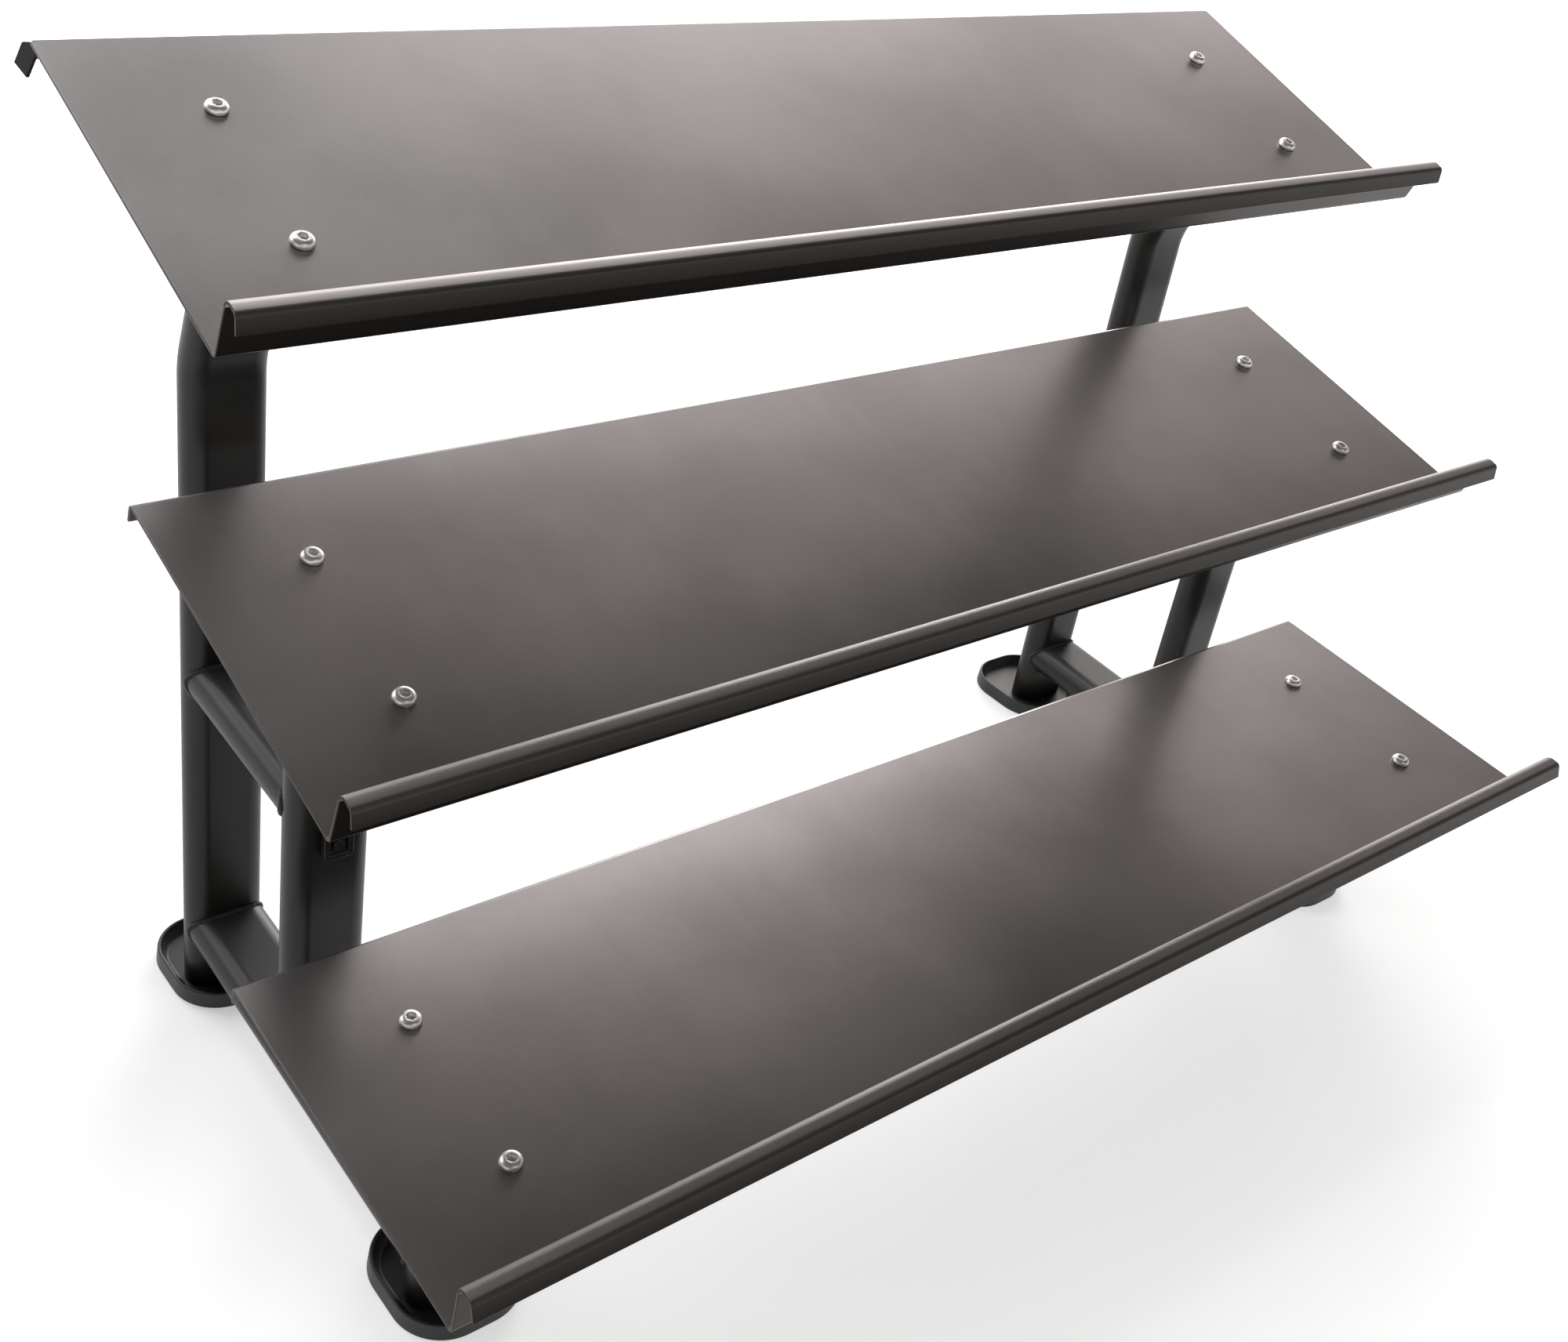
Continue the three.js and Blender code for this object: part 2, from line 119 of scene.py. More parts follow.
class Finish:  # a material or world and its nodes
    def __init__(self, owner):
        self.owner = owner
        owner.use_nodes = True
        self.tree = owner.node_tree

    def node(self, kind, settings=None, values=(), out=0):
        made = self.tree.nodes.new(kind)
        for key, value in (settings or {}).items():
            setattr(made, key, value)
        pairs = values.items() if isinstance(values, dict) else enumerate(values)
        for key, value in pairs:
            self.feed(made.inputs[key], value)
        return Wire(self, made.outputs[out])

    def feed(self, socket, value):
        if isinstance(value, Wire):
            self.tree.links.new(value.socket, socket)
        else:
            socket.default_value = value

    def surface(self, values):
        for key, value in values.items():
            self.feed(self.tree.nodes["Principled BSDF"].inputs[key], value)

    def noise(self, scale, detail=2.0, roughness=0.5, stretch=(1, 1, 1)):
        place = self.node("ShaderNodeTexCoord", out="Object")
        vector = self.node("ShaderNodeMapping", None, {"Vector": place, "Scale": stretch})
        values = {"Vector": vector, "Scale": scale, "Detail": detail, "Roughness": roughness}
        return self.node("ShaderNodeTexNoise", None, values)

    def mark(self, name):  # a value kept on the mesh's points
        return self.node("ShaderNodeAttribute", {"attribute_name": name}, out="Fac")

    def mix(self, factor, a, b):  # colour a where factor is 0, b where it is 1
        return self.node("ShaderNodeMix", {"data_type": "RGBA"}, {0: factor, 6: a, 7: b}, 2)

    def edges(self, radius):  # 1 along edges sharper than the radius, 0 on plain faces
        bent = self.node("ShaderNodeBevel", {"samples": edgeMask["samples"]}, {"Radius": radius})
        straight = self.node("ShaderNodeNewGeometry", out="Normal")
        alike = self.node("ShaderNodeVectorMath", {"operation": "DOT_PRODUCT"}, [bent, straight], "Value")
        return (1 - alike).between(*edgeMask["bend"])

    def upward(self, low, high):  # 1 on faces that look up, 0 on upright ones
        normal = self.node("ShaderNodeNewGeometry", out="Normal")
        return self.node("ShaderNodeSeparateXYZ", None, [normal], "Z").between(low, high)

    def bump(self, height, distance, normal=None):
        values = {"Height": height, "Distance": distance}
        if normal:
            values["Normal"] = normal
        return self.node("ShaderNodeBump", None, values)


def grey(value, tint=(1, 1, 1)):
    return (*(value * part for part in tint), 1)


# Each noise is given by its scale, detail and roughness, and a streak also by how it is stretched.
shelfLook = {
    "dark": 0.21,
    "light": 0.262,
    "cut": 0.15,  # painted shade along the cut edges, darker so that their rounding shows no highlight
    "crest": 0.6,  # painted highlight along the lip's crest
    "capShade": 0.055,  # painted shade where the lip's outer side starts
    "deepShade": 0.012,  # the darkest painted shade, on the flap and the cut ends
    "tint": (1.07, 1, 1),
    # the browner tint of that painted shade
    "shadeTint": (1.15, 1, 0.87),
    "cloud": (4.5, 4, 0.55),
    "streak": (30, 2, 0.5, (1, 0.08, 0.08)),
    "grain": (850, 2.5, 0.6),
    "blend": (0.6, 0.08, 0.32),  # shares of cloud, streak and grain in the shade
    "contrast": (0.36, 0.64),
    "edge": 1.2,
    "edgeShare": 0.35,
    "flake": 0.95,
    "gloss": 0.4,
    "roughness": 0.36,
    "ridgeRoughness": 0.2,  # more along the lip's crest, where the paint is worn
    "spread": (0.08, 0.1, 0.06),  # what cloud, grain and edges add to the roughness
    "grainDepth": 0.00005,
    "wave": (3.5, 1),
    "waveDepth": 0.0012,
}


def shelfFinish():
    look = shelfLook
    coat = Finish(bpy.data.materials.new("shelfCoat"))
    cloud, streak, grain, swell = (coat.noise(*look[key]) for key in ("cloud", "streak", "grain", "wave"))
    edge = coat.edges(look["edge"] * mm)
    byCloud, byStreak, byGrain = look["blend"]
    shade = (byCloud * cloud + byStreak * streak + byGrain * grain).between(*look["contrast"])
    dark, light, cut, bright = (grey(look[key], look["tint"]) for key in ("dark", "light", "cut", "crest"))
    capShade, deepShade = (grey(look[key], look["shadeTint"]) for key in ("capShade", "deepShade"))
    # Painted shade: a share of the edges is darkened towards the cut colour, so that their rounding catches no
    # highlight.
    colour = coat.mix(look["edgeShare"] * edge, coat.mix(shade, dark, light), cut)
    # Painted highlight: the crest's colour is brightened, by a share for each tier, to stand in for the broad
    # highlight along the lip.
    colour = coat.mix(coat.mark("crest"), colour, bright)
    byCloud, byGrain, byEdge = look["spread"]
    spread = byCloud * (cloud - 0.5) + byGrain * (grain - 0.5) + byEdge * edge
    coat.surface({
        # Painted shade: the lip's outer side, the front fold's outside and the cut ends take darker, browner
        # colours.
        "Base Color": coat.mix(coat.mark("front"), colour, coat.mix(coat.mark("deepShade"), capShade, deepShade)),
        "Metallic": look["flake"],
        "Roughness": look["roughness"] + look["ridgeRoughness"] * coat.mark("ridge") + spread,
        "Specular IOR Level": look["gloss"],
        "Normal": coat.bump(grain, look["grainDepth"], coat.bump(swell, look["waveDepth"])),
    })
    return coat.owner


frameLook = {
    "dark": 0.007,
    "light": 0.011,
    "worn": 0.03,
    "topSheen": 0.06,  # painted highlight on what faces up: a broad sheen along the rails' tops
    "sheenRise": (0.25, 0.95),  # heights of the normal between which that painted sheen comes in
    "tint": (1.1, 1, 0.85),
    "cloud": (11, 4, 0.55),
    "contrast": (0.35, 0.65),
    "edge": 1.2,
    "edgeShare": 0.3,
    "gloss": 0.3,
    "roughness": 0.37,
    "spread": (0.14, 0.08),  # what cloud and peel add to the roughness
    "peel": (420, 1.5),
    "peelDepth": 0.00006,
}
plateLook = {**frameLook, "gloss": 0.05, "roughness": 0.62}  # the end plates are matt


def frameFinish(name, look):
    coat = Finish(bpy.data.materials.new(name))
    cloud, peel = (coat.noise(*look[key]) for key in ("cloud", "peel"))
    dark, light, worn = (grey(look[key], look["tint"]) for key in ("dark", "light", "worn"))
    colour = coat.mix(cloud.between(*look["contrast"]), dark, light)
    colour = coat.mix(look["edgeShare"] * coat.edges(look["edge"] * mm), colour, worn)
    byCloud, byPeel = look["spread"]
    coat.surface({
        # Painted highlight: faces that look up are lightened, as a broad sheen along the rails' tops.
        "Base Color": coat.mix(coat.upward(*look["sheenRise"]), colour, grey(look["topSheen"])),
        "Roughness": look["roughness"] + byCloud * (cloud - 0.5) + byPeel * (peel - 0.5),
        "Specular IOR Level": look["gloss"],
        "Normal": coat.bump(peel, look["peelDepth"]),
    })
    return coat.owner


zincLook = {
    "dull": 0.75,
    "bright": 0.9,
    "tint": (1.02, 1, 0.97),
    "cloud": (240, 3, 0.6),
    "contrast": (0.3, 0.65),
    "edge": 0.6,
    "edgeShare": 0.5,
    "roughness": 0.36,
    "spread": (0.2, 0.08),  # what the duller clouds and the fine grain add to the roughness
    "fine": (1800, 2),
    "fineDepth": 0.00001,
}


def zincFinish():
    look = zincLook
    plate = Finish(bpy.data.materials.new("zincPlate"))
    cloud, fine = (plate.noise(*look[key]) for key in ("cloud", "fine"))
    dull, bright = (grey(look[key], look["tint"]) for key in ("dull", "bright"))
    colour = plate.mix(cloud.between(*look["contrast"]), dull, bright)
    edge = look["edgeShare"] * plate.edges(look["edge"] * mm)
    byCloud, byFine = look["spread"]
    plate.surface({
        "Base Color": plate.mix(edge, colour, grey(look["bright"])),
        "Metallic": 1.0,
        "Roughness": look["roughness"] + byCloud * (cloud - 0.5).most(0) + byFine * (fine - 0.5),
        "Normal": plate.bump(fine, look["fineDepth"]),
    })
    return plate.owner


rubberLook = {
    "dark": 0.010,
    "light": 0.020,
    "dusty": 0.045,
    "tint": (1.02, 1, 0.97),
    "cloud": (28, 4, 0.6),
    "contrast": (0.3, 0.7),
    "edge": 1.5,
    "edgeShare": 0.4,
    "roughness": 0.46,
    "spread": (0.25, 0.08),  # what cloud and the fine grain add to the roughness
    "fine": (1300, 2),
    "fineDepth": 0.00005,
}


def rubberFinish():
    look = rubberLook
    rubber = Finish(bpy.data.materials.new("footRubber"))
    cloud, fine = (rubber.noise(*look[key]) for key in ("cloud", "fine"))
    light, dusty = (grey(look[key], look["tint"]) for key in ("light", "dusty"))
    colour = rubber.mix(cloud.between(*look["contrast"]), grey(look["dark"]), light)
    byCloud, byFine = look["spread"]
    rubber.surface({
        "Base Color": rubber.mix(look["edgeShare"] * rubber.edges(look["edge"] * mm), colour, dusty),
        "Roughness": look["roughness"] + byCloud * (cloud - 0.5) + byFine * (fine - 0.5),
        "Normal": rubber.bump(fine, look["fineDepth"]),
    })
    return rubber.owner


finishes = {
    "shelf_paint": shelfFinish(),
    "frame_paint": frameFinish("frameCoat", frameLook),
    "zinc": zincFinish(),
    "rubber": rubberFinish(),
}
plateFinish = frameFinish("plateCoat", plateLook)
for part in frame["record"]["subparts"]:
    node = frame["nodes"][part["node"]]
    node.data.materials.clear()
    node.data.materials.append(finishes[part["material_slot"]])
print("finishes made")


def gridFaces(rows, columns, closeRows):  # quads of a grid numbered row by row, its rows closed loops
    r = np.arange(rows if closeRows else rows - 1)[:, None]
    c = np.arange(columns)[None, :]
    up, on = (r + 1) % rows * columns, (c + 1) % columns
    corners = [r * columns + c, r * columns + on, up + on, up + c]
    return np.stack(np.broadcast_arrays(*corners), -1).reshape(-1, 4)


def volumeOf(points, faces):  # signed, from the fan of triangles of each face
    total = 0.0
    for size in {len(face) for face in faces}:
        ring = points[np.array([face for face in faces if len(face) == size])]
        for k in range(1, size - 1):
            total += np.einsum("ij,ij->", ring[:, 0], np.cross(ring[:, k], ring[:, k + 1]))
    return total


def boxOf(name):  # a node's lowest and highest corner, in millimetres
    low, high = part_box(name)
    return np.array(low) / mm, np.array(high) / mm


def settle(piece, slot, nodes, sharp=40):
    piece.data.materials.clear()
    piece.data.materials.append(finishes[slot])
    piece.data.shade_smooth()
    piece.data.set_sharp_from_angle(angle=np.radians(sharp))
    weighted = piece.modifiers.new("evenFaces", "WEIGHTED_NORMAL")
    weighted.keep_sharp = True
    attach(piece, "root")
    if nodes:
        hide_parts(*nodes)
    return piece


def addMesh(name, points, faces):  # closed skin in millimetres, turned to face outwards
    points = np.asarray(points, float).reshape(-1, 3)
    faces = [tuple(int(v) for v in face) for face in faces]
    if volumeOf(points, faces) < 0:
        faces = [face[::-1] for face in faces]
    mesh = bpy.data.meshes.new(name)
    mesh.from_pydata((points * mm).tolist(), [], faces)
    piece = bpy.data.objects.new(name, mesh)
    bpy.context.scene.collection.objects.link(piece)
    return piece


def gridPiece(name, grid, closeRows=False):  # a loop in each row; flat caps close the ends of an open run
    rows, columns = grid.shape[:2]
    faces = list(gridFaces(rows, columns, closeRows))
    if not closeRows:
        ends = np.arange(columns)
        faces += [ends[::-1], (rows - 1) * columns + ends]
    return addMesh(name, grid, faces)


def bake(piece):  # the mesh as its modifiers leave it
    depsgraph = bpy.context.evaluated_depsgraph_get()
    mesh = bpy.data.meshes.new_from_object(piece.evaluated_get(depsgraph))
    piece.modifiers.clear()
    piece.data = mesh


def drill(piece, pins):  # pins are closed grids of the holes to take out
    tools = [gridPiece("pin", pin) for pin in pins]
    for tool in tools:
        cut = piece.modifiers.new("hole", "BOOLEAN")
        cut.operation, cut.solver, cut.object = "DIFFERENCE", "EXACT", tool
    bake(piece)
    for tool in tools:
        bpy.data.objects.remove(tool)


# Points given as x, s and n, where s runs up a tier's slope and n stands square to it, about the front fold.
def onTier(points, tier, origin=(0, 0, 0)):
    x, s, n = np.moveaxis(np.asarray(points, float), -1, 0)
    a = np.radians(tilts[tier])
    return np.stack([x, s * np.cos(a) - n * np.sin(a), s * np.sin(a) + n * np.cos(a)], -1) + origin


shelf = {
    "length": 1500,
    "sheet": 3,
    "lip": [(-23, 41, 0), (-17, 56, 4.5), (0, 57, 8), (0, 0, 4.5)],  # s, n and bend radius
    "flange": [(380, 0, 4.5), (380, -18, 0)],
    "bendSteps": 10,
    "edge": 0.8,  # rounding of the cut edges
    "edgeSteps": 3,
    "edgeStart": 0.12,  # radians; starting late leaves the noses of the end loops open
    "noseSteps": 6,
    "hole": 13,
    "drill": (-5, 5),  # from under the sheet to over it
    "notch": (3.3, 375.2),  # room for an end plate at a rear corner: its width, and where it starts
    "notchBlock": 30,  # reach of the block that cuts it
    "ridge": 2,  # how far behind the lip's middle its crest starts
    # how much of the crest's painted highlight each tier gets
    "highlightShare": {"lower": 0.05, "middle": 0.4, "top": 1},
    "crested": (-10, -17),  # along the cap, where the crest's painted highlight and its rougher ridge end
    "shadeStart": (-14.5, -18),  # and the painted shade of the lip's outer side begins
    "shaded": (56, 53.3),  # down the flap, to where that painted shade is darkest
    "walled": 0.6,  # and how near to that darkest painted shade the lip behind the flap comes
    "folded": (4.4, 1.5),  # round the front fold, from the panel's finish to the lip's painted shade
    "endShadeBand": 0.8,  # the band at the cut ends that is painted in the darkest shade
}


# Straight runs joined by arcs: at a corner that turns by t, an arc of radius r starts r tan(t/2) before it.
def foldLine(corners, steps):
    at = np.array([c[:2] for c in corners], float)
    run = np.diff(at, axis=0)
    run /= np.linalg.norm(run, axis=1)[:, None]
    left = np.stack([-run[:, 1], run[:, 0]], 1)
    points, normals = [at[:1]], [left[:1]]
    for i in range(1, len(at) - 1):
        turn = np.arctan2(run[i - 1, 0] * run[i, 1] - run[i - 1, 1] * run[i, 0], run[i - 1] @ run[i])
        radius = corners[i][2] * np.sign(turn)
        centre = at[i] - run[i - 1] * radius * np.tan(turn / 2) + left[i - 1] * radius
        angle = turn * np.linspace(0, 1, steps + 1)[:, None]
        spoke = left[i - 1] * np.cos(angle) - run[i - 1] * np.sin(angle)
        points.append(centre - spoke * radius)
        normals.append(spoke)
    points.append(at[-1:])
    normals.append(left[-1:])
    return np.concatenate(points), np.concatenate(normals)


# Folded sheet: the loop round its section is drawn in by e (1 - sin u) where e (1 - cos u) of its length is
# left, with e the edge's radius and u a quarter turn. Strips across the section close the ends.
def foldedSheet(name, corners, tier, origin):
    line, up = foldLine(corners, shelf["bendSteps"])
    half, edge = shelf["sheet"] / 2, shelf["edge"]
    quarter = np.linspace(shelf["edgeStart"], np.pi / 2, shelf["edgeSteps"] + 1)
    inset = edge * (1 - np.sin(quarter))
    out = np.array([line[0] - line[1], line[-1] - line[-2]])
    out /= np.linalg.norm(out, axis=1)[:, None]
    turn = np.linspace(-np.pi / 2, np.pi / 2, shelf["noseSteps"] + 1)[1:-1, None]

    def nose(end, e):  # round the cut edge from the right of the line to its left
        flat = half - edge
        across = np.sign(np.sin(turn)) * flat + (edge - e) * np.sin(turn)
        along = (edge - e) * np.cos(turn) - edge
        return line[end] + across * up[end] + along * out[end]

    def section(e):
        body = line.copy()
        body[0] -= out[0] * edge
        body[-1] -= out[1] * edge
        h = half - e
        return np.concatenate([body - h * up, nose(-1, e), (body + h * up)[::-1], nose(0, e)[::-1]])

    insets = np.concatenate([inset, [0], inset[::-1]])
    station = shelf["length"] / 2 - edge * (1 - np.cos(quarter))
    x = np.concatenate([-station, [0], station[::-1]])
    sn = np.array([section(e) for e in insets])
    grid = np.concatenate([np.broadcast_to(x[:, None, None], sn.shape[:2] + (1,)), sn], -1)
    rows, count = sn.shape[:2]
    body, tip = len(line), len(turn)
    i = np.arange(body - 1)
    j = 2 * body + tip - 1 - i
    strips = [tuple(face) for face in np.stack([i, i + 1, j - 1, j], 1)]
    strips += [tuple(range(body - 1, body + tip + 1)), tuple(range(2 * body + tip - 1, count)) + (0,)]
    last = (rows - 1) * count
    faces = [tuple(face) for face in gridFaces(rows, count, False)]
    faces += [face[::-1] for face in strips] + [tuple(last + v for v in face) for face in strips]
    return addMesh(name, onTier(grid, tier, origin), faces)


# A tier's front fold stands where the corners of its square-cut section meet the node's box.
def tierOrigin(tier):
    line, up = foldLine(shelf["lip"] + shelf["flange"], shelf["bendSteps"])
    sn = np.concatenate([line + up * shelf["sheet"] / 2, line - up * shelf["sheet"] / 2])
    corner = onTier(np.insert(sn, 0, 0, 1), tier).min(0)
    return np.array([0, *(boxOf(f"{tier}_shelf")[0] - corner)[1:]])


origins = {tier: tierOrigin(tier) for tier in tilts}
print("tiers at", {tier: [round(float(v), 2) for v in place] for tier, place in origins.items()})

bolt = {
    "places": (109, 278),  # up the slope from the front fold
    "around": 48,
    "sharp": 50,  # degrees
    "diameter": 12,
    "length": 25,
    "pitch": 1.75,
    "threadDepth": 1.0,
    "threaded": 20,
    "threadStep": 0.2,
    "runOut": 2.5,  # length over which the thread fades out
    "taper": 1.2,  # taken off the radius at the tip
    "fillet": [(0, -1.0), (0.4, -0.1)],  # under the head: more radius, and height
    "head": 21,
    "height": 6.6,
    "side": 1.2,
    "rim": 0.3,
    "crown": 5.6,
    "crownSteps": 11,
    "socket": 8,
    "socketDepth": 4,
    "mouth": [(0.45, 0), (0.1, -0.12), (0, -0.45)],  # at the socket's edge: more reach, and height
    "bottom": [(0, 0), (-0.3, -0.1)],
    "point": (1.2, -0.9),  # where the bit went deeper
}
frameX = float(np.mean(boxOf("rear_post_right"), axis=0)[0])


# Solid turned about an upright axis: each row is a radius, or one for each angle, and its height.
def latheGrid(rows, angle):
    radius = np.array([np.broadcast_to(r, angle.shape) for r, h in rows])
    height = np.broadcast_to([[h] for r, h in rows], radius.shape)
    return np.stack([radius * np.cos(angle), radius * np.sin(angle), height], -1)


def roundTurn(steps):  # the angles of a whole turn
    return np.linspace(0, 2 * np.pi, steps, endpoint=False)


def pinThrough(x, s, tier):  # a cylinder through the sheet, for a bolt's hole
    pin = latheGrid([(shelf["hole"] / 2, h) for h in shelf["drill"]], roundTurn(bolt["around"]))
    return onTier(pin + (x, s, 0), tier, origins[tier])


# Marks for the finish, each from 0 to 1. The crest's rougher ridge and its painted highlight, a share of it by
# tier, fade out along the cap. There the painted shade of the lip's outer side comes in, and the darkest
# painted shade rises down the flap. Those two shades are also painted on the outside of the lip and of the
# front fold, and on the cut ends.
def markLip(piece, tier):
    mesh = piece.data
    at = np.empty(3 * len(mesh.vertices))
    mesh.vertices.foreach_get("co", at)
    x, y, z = (at.reshape(-1, 3) / mm - origins[tier]).T
    a = np.radians(tilts[tier])
    s, n = y * np.cos(a) + z * np.sin(a), z * np.cos(a) - y * np.sin(a)

    def past(value, places):  # 0 at the first of two places and 1 at the second
        return np.clip((value - places[0]) / (places[1] - places[0]), 0, 1)

    bend = shelf["lip"][2][1] - shelf["lip"][2][2]
    fold = shelf["lip"][3][2]
    outside = np.where(n > fold, s < 0, np.hypot(s - fold, n - fold) > fold) * past(s, shelf["folded"])
    end = past(np.abs(x), (shelf["length"] / 2 - shelf["endShadeBand"], shelf["length"] / 2))
    ridge = np.where(n > bend, 1 - past(s, shelf["crested"]), 0) * (s < shelf["ridge"])
    flap = (n > bend) | (s < shelf["shadeStart"][1])
    marks = {
        "ridge": ridge,
        "crest": shelf["highlightShare"][tier] * ridge,
        "front": np.maximum(np.where(n > bend, past(s, shelf["shadeStart"]), outside), end),
        "deepShade": np.maximum(np.where(flap, past(n, shelf["shaded"]), shelf["walled"] * outside), end),
    }
    for name, values in marks.items():
        mark = mesh.attributes.new(name, "FLOAT", "POINT")
        mark.data.foreach_set("value", values.astype(float))


def notchAt(side, tier):  # a square block at the shelf's corner
    wide, start = shelf["notch"]
    reach = shelf["notchBlock"]
    across = shelf["length"] / 2 - wide + np.array([0, reach, reach, 0])
    along = start + np.array([0, 0, reach, reach])
    grid = np.array([np.stack([side * across, along, np.full(4, float(n))], -1) for n in (-reach, reach)])
    return onTier(grid, tier, origins[tier])


for tier in tilts:
    piece = foldedSheet(f"{tier}Shelf", shelf["lip"] + shelf["flange"], tier, origins[tier])
    cuts = [pinThrough(x, s, tier) for x in (-frameX, frameX) for s in bolt["places"]]
    if tier == "top":
        cuts += [notchAt(-1, tier), notchAt(1, tier)]
    drill(piece, cuts)
    markLip(piece, tier)
    settle(piece, "shelf_paint", [f"{tier}_shelf"])
print("shelves folded")


# Distance from the axis to the side of a hexagon: half its width over cos of the angle from the nearest flat.
def hexReach(angle, across):
    return across / 2 / np.cos((angle + np.pi / 6) % (np.pi / 3) - np.pi / 6)


# Button head: a quarter ellipse from the side to the crown, then a hexagon socket. The shank's radius swings
# over one pitch as the point goes up by the pitch or round by a whole turn.
def boltGrid():
    angle = roundTurn(bolt["around"])
    radius, head, side, top = bolt["diameter"] / 2, bolt["head"] / 2, bolt["side"], bolt["height"]
    rings = 1 + int(bolt["threaded"] / bolt["threadStep"])
    z = np.linspace(-bolt["length"], bolt["threaded"] - bolt["length"], rings)
    wave = (z[:, None] / bolt["pitch"] - angle / (2 * np.pi)) % 1
    tooth = np.abs(2 * wave - 1)
    fade = np.clip(np.minimum(z - z[0], (z[-1] - z) / bolt["runOut"]), 0, 1)[:, None]
    taper = np.clip(bolt["taper"] - (z - z[0]), 0, bolt["taper"])[:, None]
    rows = list(zip(radius - bolt["threadDepth"] * tooth * fade - taper, z))
    rows += [(radius + more, h) for more, h in bolt["fillet"]]
    rows += [(head - bolt["rim"], 0), (head, bolt["rim"]), (head, side)]
    swing = np.linspace(0, np.pi / 2, bolt["crownSteps"] + 1)[1:]
    reach = bolt["crown"] + (head - bolt["crown"]) * np.cos(swing)
    rows += list(zip(reach, side + (top - side) * np.sin(swing)))
    socket, floor = hexReach(angle, bolt["socket"]), top - bolt["socketDepth"]
    rows += [(socket + more, top + h) for more, h in bolt["mouth"]]
    rows += [(socket + more, floor + h) for more, h in bolt["bottom"]]
    rows.append((bolt["point"][0], floor + bolt["point"][1]))
    return latheGrid(rows, angle)


# Chamfered end of a hexagon: its radius is the smaller of the hexagon's and a cone's that narrows to the top.
def chamferRows(side, look):
    top, half = look["height"], look["across"] / 2 - look["coneInset"]
    heights = np.linspace(top - look["chamfer"], top, look["chamferSteps"] + 1)
    return [(np.minimum(side, half + (top - h) * look["coneSlope"]), h) for h in heights]


nut = {
    "around": 72,
    "sharp": 30,
    "across": 18,
    "height": 12,
    "chamfer": 2.2,
    "chamferSteps": 8,
    "coneSlope": 1.7,
    "coneInset": 0.3,
    "flange": 26,
    "thickness": 2.5,
    "rim": 0.3,
    "slope": (-0.4, 0.35),  # over the flange's rim: more radius, and height
    "fillet": [(0.5, 0), (0, 0.6)],  # where the hexagon stands on the flange
    "hole": 12.6,
    "lead": (0.6, 0.9),  # countersinks at the flange and at the far end
    "web": 4,  # thickness of the channel that it presses on
}


# Hexagon body on a sloping round flange, its axis down and its flange's face at 0.
def nutGrid():
    angle = roundTurn(nut["around"])
    side = hexReach(angle, nut["across"])
    flange, hole, edge = nut["flange"] / 2, nut["hole"] / 2, nut["thickness"] / 2
    near, far = nut["lead"]
    rows = [(hole, near), (hole + near, 0), (flange - nut["rim"], 0), (flange, nut["rim"]), (flange, edge)]
    rows.append((flange + nut["slope"][0], edge + nut["slope"][1]))
    rows += [(side + more, nut["thickness"] + h) for more, h in nut["fillet"]]
    rows += chamferRows(side, nut)
    rows += [(hole + far, nut["height"]), (hole, nut["height"] - far)]
    return latheGrid(rows, angle) * (1, 1, -1)


channelUnder = -shelf["sheet"] / 2 - seat - nut["web"]
random = np.random.default_rng(7)


def turnedGrid(grid, angle):  # about its own axis
    c, s = np.cos(angle), np.sin(angle)
    x, y, z = np.moveaxis(grid, -1, 0)
    return np.stack([x * c - y * s, x * s + y * c, z], -1)


for tier in tilts:
    for side, sign in sides.items():
        for end, s in zip(("front", "rear"), bolt["places"]):
            spot = f"{tier}_{side}_{end}"
            twist, spin = random.uniform(0, np.pi / 3, 2)
            above = turnedGrid(boltGrid(), twist) + (sign * frameX, s, shelf["sheet"] / 2 + seat)
            below = turnedGrid(nutGrid(), spin) + (sign * frameX, s, channelUnder - seat)
            holder = gridPiece(f"bolt_{spot}_look", onTier(above, tier, origins[tier]))
            settle(holder, "zinc", [f"bolt_{spot}"], bolt["sharp"])
            keeper = gridPiece(f"nut_{spot}_look", onTier(below, tier, origins[tier]), True)
            settle(keeper, "zinc", [f"nut_{spot}"], nut["sharp"])
print("bolts and nuts turned")

tube = {
    "width": 80,
    "thickness": 40,
    "wall": 2.5,
    "edge": 0.7,  # rounding of the cut rim
    "arcSteps": 16,
    "bend": 90,
    "bendSteps": 14,
}


# Flat oval grown by g: two half circles of radius T/2 + g about points (W - T)/2 off the middle.
def ovalLoop(growth):
    turn = np.linspace(-np.pi / 2, np.pi / 2, tube["arcSteps"] + 1)
    radius = tube["thickness"] / 2 + growth
    reach = (tube["width"] - tube["thickness"]) / 2
    arc = np.stack([reach + radius * np.cos(turn), radius * np.sin(turn)], 1)
    return np.concatenate([arc, -arc])


# Half the depth of a flat oval at x, and the gap to it: T/2 between the centres of its arcs, and a circle's
# height beyond them.
def ovalDepth(x):
    radius = tube["thickness"] / 2 + seat
    beyond = np.maximum(np.abs(x) - (tube["width"] - tube["thickness"]) / 2, 0)
    return np.sqrt(np.maximum(radius**2 - beyond**2, 0))


# The oval laid square across a run at a point, then slid along it to where a trim ends it, and a step on.
def sweepRing(point, tangent, growth, back=0.0, trim=None):
    loop = ovalLoop(growth)
    normal = np.array([0, tangent[2], -tangent[1]])
    ringPoints = point + loop[:, :1] * (1, 0, 0) + loop[:, 1:] * normal
    reach = trim(ringPoints, tangent) if trim else 0 * loop[:, 0]
    return ringPoints + (reach + back)[:, None] * tangent


